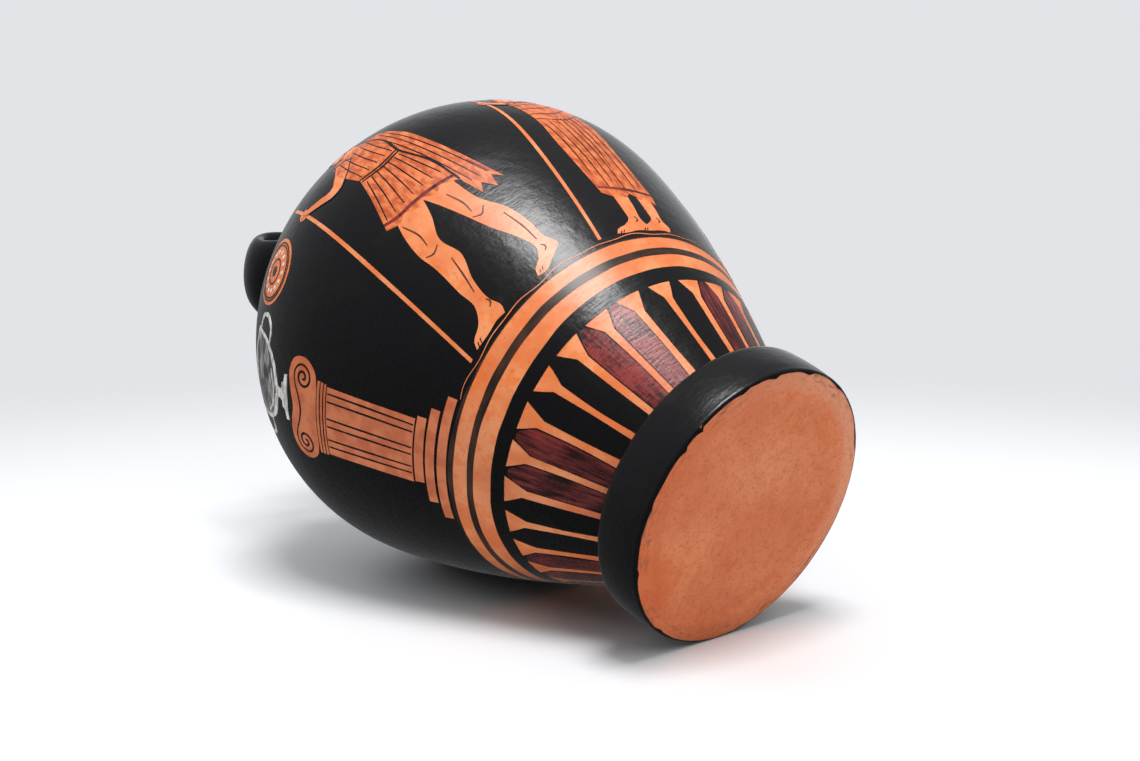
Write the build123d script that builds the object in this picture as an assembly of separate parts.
from build123d import *
import os

# A lekythos, an oil bottle of fired clay, standing on its foot: millimetres, +Z up through the mouth,
# origin at the centre of the underside, handle towards -X. The pieces are thrown or pulled one by one
# and luted together with slip, so every joint is a seat with a layer of slip in it.

# Slip: the layer left in every joint, and how far the wiped bead stands out of it
slip_thickness = 0.8
foot_bead = 2.2
collar_bead = 0.4
handle_bead = 0.9

# Body: the thrown ovoid wall, by its radius at a few rises above the joint with the foot
base_radius = 30.0
base_lean = 0.54
lower_wall_radius = 50.6
lower_wall_rise = 37.7
upper_wall_radius = 66.3
upper_wall_rise = 73.9
belly_radius = 71.9
belly_rise = 96.4
shoulder_radius = 62.0
shoulder_rise = 133.3
body_rise = 164.9
shoulder_top_lean = 0.36
wall_thickness = 5.0
floor_thickness = 7.0
spigot_step = 2.0

# Foot: a disc with a wall that flares a little upwards and a shallow dish underneath
foot_height = 13.3
foot_ledge = 7.0
foot_flare = 0.8
foot_swell = 0.25
foot_bottom_round = 0.9
foot_top_round = 1.1
standing_ring_width = 3.4
dish_depth = 1.0
dish_blend = 4.0
foot_seat_depth = 2.4

# Neck: a waisted tube, socketed over a collar on the body
bore_radius = 9.5
collar_thickness = 3.1
collar_height = 2.6
neck_root_land = 4.6
neck_wall = 4.7
neck_waist_rise = 9.2
neck_top_land = 2.8
neck_length = 18.2

# Mouth: a bell with a flat lip and a funnel inside, socketed over a collar on the neck
mouth_radius = 23.3
mouth_rise = 13.2
lip_height = 3.4
lip_width = 3.2
lip_round = 1.0

# Handle: a pulled strap from the neck out over the shoulder, widening to its root
handle_tip_rise = 10.4
handle_tip_lift = 0.5
handle_reach = 47.6
handle_reach_rise = 4.0
handle_root_radius = 43.0
handle_tip_width = 16.0
handle_bend_width = 21.5
handle_root_width = 34.5
handle_tip_thickness = 8.0
handle_bend_thickness = 8.6
handle_root_thickness = 10.5
handle_tip_embed = 5.0
handle_root_embed = 9.0

handle_sections = 7
skin_points = 24


def at(radius, height):
    """Point of a profile at a radius and a height."""
    return (radius, 0, height)


def turned(*edges):
    """Solid of revolution about the Z axis from the edges of a closed profile."""
    return revolve(make_face(edges), Axis.Z)


def outline(*points):
    """Straight edges that join the points in turn."""
    return [Line(start, end) for start, end in zip(points[:-1], points[1:])]


def quarter_round(start, end, corner):
    """Arc of a rounded edge from start to end, in place of their sharp corner."""
    centre = Vector(*start) + Vector(*end) - Vector(*corner)
    radius = abs(start[0] - end[0])
    middle = centre + (Vector(*corner) - centre).normalized() * radius
    return ThreePointArc(start, middle, end)


def offset_points(curve, distance):
    """Points at a distance outside a profile curve that runs upwards, negative for inside."""
    points = []
    for step in range(skin_points + 1):
        place = step / skin_points
        tangent = curve % place
        points.append(curve @ place + Vector(tangent.Z, 0, -tangent.X) * distance)
    return points


# Heights at which the pieces meet
seat_floor = foot_height - foot_seat_depth
body_seat = foot_height + slip_thickness
body_bottom = seat_floor + slip_thickness
body_top = body_seat + body_rise
neck_bottom = body_top + slip_thickness
neck_top = neck_bottom + neck_length
mouth_bottom = neck_top + slip_thickness
mouth_top = mouth_bottom + mouth_rise

# Radii that the pieces share
spigot_radius = base_radius - spigot_step
seat_radius = spigot_radius + slip_thickness
foot_radius = base_radius + foot_ledge
collar_radius = bore_radius + collar_thickness
socket_radius = collar_radius + slip_thickness
neck_root_radius = socket_radius + neck_root_land
neck_waist_radius = bore_radius + neck_wall
neck_top_radius = socket_radius + neck_top_land


def collar(seat_height):
    """Profile points of a collar that stands up from a seat round the bore."""
    return [
        at(collar_radius, seat_height),
        at(collar_radius, seat_height + collar_height),
        at(bore_radius, seat_height + collar_height),
    ]


def socket(seat_height):
    """Profile points of the socket that goes over such a collar, with room for slip."""
    return [
        at(bore_radius, seat_height + collar_height + slip_thickness),
        at(socket_radius, seat_height + collar_height + slip_thickness),
        at(socket_radius, seat_height + slip_thickness),
    ]


# Foot
ring_outer = foot_radius - foot_bottom_round
ring_inner = ring_outer - standing_ring_width
dish_radius = ring_inner - dish_blend
wall_bottom = at(foot_radius, foot_bottom_round)
wall_middle = at(foot_radius + foot_flare / 2 + foot_swell, foot_height / 2)
wall_top = at(foot_radius + foot_flare, foot_height - foot_top_round)
ledge_edge = at(wall_top[0] - foot_top_round, foot_height)
level = (1, 0, 0)
foot = turned(
    *outline(at(0, seat_floor), at(0, dish_depth), at(dish_radius, dish_depth)),
    Spline(at(dish_radius, dish_depth), at(ring_inner, 0), tangents=[level, level]),
    Line(at(ring_inner, 0), at(ring_outer, 0)),
    quarter_round(at(ring_outer, 0), wall_bottom, at(foot_radius, 0)),
    ThreePointArc(wall_bottom, wall_middle, wall_top),
    quarter_round(wall_top, ledge_edge, at(wall_top[0], foot_height)),
    *outline(ledge_edge, at(seat_radius, foot_height), at(seat_radius, seat_floor), at(0, seat_floor)),
)

# Body: outside, then the hollow that follows it at the wall's thickness
body_curve = Spline(
    at(base_radius, body_seat),
    at(lower_wall_radius, body_seat + lower_wall_rise),
    at(upper_wall_radius, body_seat + upper_wall_rise),
    at(belly_radius, body_seat + belly_rise),
    at(shoulder_radius, body_seat + shoulder_rise),
    at(neck_root_radius, body_top),
    tangents=[(base_lean, 0, 1), (-1, 0, shoulder_top_lean)],
)
collar_top = body_top + collar_height
body_outside = turned(
    *outline(at(0, body_bottom), at(spigot_radius, body_bottom), at(spigot_radius, body_seat)),
    Line(at(spigot_radius, body_seat), at(base_radius, body_seat)),
    body_curve,
    Line(at(neck_root_radius, body_top), at(collar_radius, body_top)),
    *outline(*collar(body_top)),
    *outline(at(bore_radius, collar_top), at(0, collar_top), at(0, body_bottom)),
)
floor_top = body_bottom + floor_thickness
inside_points = [
    point
    for point in offset_points(body_curve, -wall_thickness)
    if point.Z > floor_top + wall_thickness and point.X > bore_radius + wall_thickness
]
floor_edge = at(inside_points[0].X - wall_thickness, floor_top)
hollow_top = at(bore_radius, body_top - wall_thickness)
hollow = turned(
    Line(at(0, floor_top), floor_edge),
    Spline(floor_edge, *inside_points, hollow_top, tangents=[(1, 0, shoulder_top_lean), (-1, 0, 0)]),
    *outline(hollow_top, at(bore_radius, collar_top), at(0, collar_top), at(0, floor_top)),
)
body = body_outside - hollow

# Slip between foot and body, with a hollow bead wiped round the joint
bead_edge = at(base_radius + foot_bead, foot_height)
bead_top = at(base_radius, body_seat + foot_bead)
foot_slip = turned(
    *outline(at(0, seat_floor), at(seat_radius, seat_floor), at(seat_radius, foot_height), bead_edge),
    Spline(bead_edge, bead_top, tangents=[(-1, 0, base_lean), (base_lean / 2, 0, 1)]),
    *outline(bead_top, at(0, bead_top[2]), at(0, seat_floor)),
) - body_outside

# Neck
neck_curve = Spline(
    at(neck_root_radius, neck_bottom),
    at(neck_waist_radius, neck_bottom + neck_waist_rise),
    at(neck_top_radius, neck_top),
    tangents=[(-1, 0, 2 * shoulder_top_lean), (base_lean, 0, 1)],
)
neck = turned(
    neck_curve,
    Line(at(neck_top_radius, neck_top), at(collar_radius, neck_top)),
    *outline(*collar(neck_top), *socket(body_top), at(neck_root_radius, neck_bottom)),
)


def collar_slip(seat_height, outer_radius):
    """Slip that fills a collar joint, with a rounded bead outside."""
    bead_low = at(outer_radius, seat_height)
    bead_middle = at(outer_radius + collar_bead, seat_height + slip_thickness / 2)
    bead_high = at(outer_radius, seat_height + slip_thickness)
    return turned(
        *outline(*reversed(collar(seat_height)), bead_low),
        ThreePointArc(bead_low, bead_middle, bead_high),
        *outline(bead_high, *reversed(socket(seat_height)), collar(seat_height)[-1]),
    )


neck_slip = collar_slip(body_top, neck_root_radius)
mouth_slip = collar_slip(neck_top, neck_top_radius)

# Mouth: the bell outside, the flat lip, and the funnel down to the bore
lip_foot = at(mouth_radius, mouth_top - lip_height)
lip_side = at(mouth_radius, mouth_top - lip_round)
lip_edge = at(mouth_radius - lip_round, mouth_top)
funnel_edge = at(mouth_radius - lip_round - lip_width, mouth_top)
funnel_foot = at(bore_radius, neck_top + collar_height + 2 * slip_thickness)
bell_start = at(neck_top_radius, mouth_bottom)
bell_tangents = [(1, 0, slip_thickness / collar_height), (base_lean / 2, 0, 1)]
funnel_tangent = (-shoulder_top_lean, 0, -1)
mouth = turned(
    Spline(bell_start, lip_foot, tangents=bell_tangents),
    Line(lip_foot, lip_side),
    quarter_round(lip_side, lip_edge, at(mouth_radius, mouth_top)),
    Line(lip_edge, funnel_edge),
    Spline(funnel_edge, funnel_foot, tangents=[funnel_tangent, funnel_tangent]),
    *outline(funnel_foot, *socket(neck_top), bell_start),
)


# Handle: sections of a flat ellipse along its path, trimmed to the neck and the shoulder
def place_at_radius(curve, radius):
    """Place on the upper half of a body curve where it has this radius."""
    low, high = 0.5, 1.0
    while high - low > 1e-6:
        middle = (low + high) / 2
        if (curve @ middle).X > radius:
            low = middle
        else:
            high = middle
    return low


root_place = place_at_radius(body_curve, handle_root_radius)
root_point = body_curve @ root_place
root_tangent = body_curve % root_place
handle_path = Spline(
    (-neck_waist_radius, 0, neck_bottom + handle_tip_rise),
    (-handle_reach, 0, body_top + handle_reach_rise),
    (-root_point.X, 0, root_point.Z),
    tangents=[(-1, 0, handle_tip_lift), (0, 0, -1), (root_tangent.Z, 0, root_tangent.X)],
)


def along(place, tip, bend, root):
    """Size of the strap at a place on its path, from the tip at the neck to the root."""
    if place < 0.5:
        return tip + (bend - tip) * 2 * place
    return bend + (root - bend) * (2 * place - 1) ** 2


def strap(stations, extra=0.0):
    """Strap lofted through stations, each a place on the path and a run past its end."""
    sections = []
    for place, run_on in stations:
        tangent = handle_path % place
        plane = Plane(handle_path @ place + tangent * run_on, x_dir=(0, 1, 0), z_dir=tangent)
        width = along(place, handle_tip_width, handle_bend_width, handle_root_width)
        thickness = along(place, handle_tip_thickness, handle_bend_thickness, handle_root_thickness)
        sections.append(plane * Ellipse(width / 2 + extra, thickness / 2 + extra))
    return loft(sections)


def filled(points):
    """Solid of revolution inside a curve through the points of a profile."""
    low, high = points[0], points[-1]
    return turned(Spline(*points), *outline(high, at(0, high.Z), at(0, low.Z), low))


stations = [(step / (handle_sections - 1), 0.0) for step in range(handle_sections)]
tip_end = (0.0, -handle_tip_embed)
root_end = (1.0, handle_root_embed)
neck_core = turned(neck_curve, *outline(neck_curve @ 1, at(0, neck_top), at(0, neck_bottom), neck_curve @ 0))
neck_skin = filled(offset_points(neck_curve, slip_thickness))
shoulder_skin = filled(offset_points(body_curve, slip_thickness))
handle = strap([tip_end, *stations, root_end]) - neck_skin - shoulder_skin
handle_tip_slip = strap([tip_end, *stations[:3]], handle_bead) & neck_skin
handle_tip_slip -= neck_core
handle_root_slip = strap([*stations[-3:], root_end], handle_bead) & shoulder_skin
handle_root_slip -= body_outside

# One file for each piece
pieces = {
    "foot": foot,
    "foot_slip": foot_slip,
    "body": body,
    "neck_slip": neck_slip,
    "neck": neck,
    "mouth_slip": mouth_slip,
    "mouth": mouth,
    "handle_tip_slip": handle_tip_slip,
    "handle_root_slip": handle_root_slip,
    "handle": handle,
}
os.makedirs("parts", exist_ok=True)
for name, piece in pieces.items():
    export_step(piece, f"parts/{name}.step")
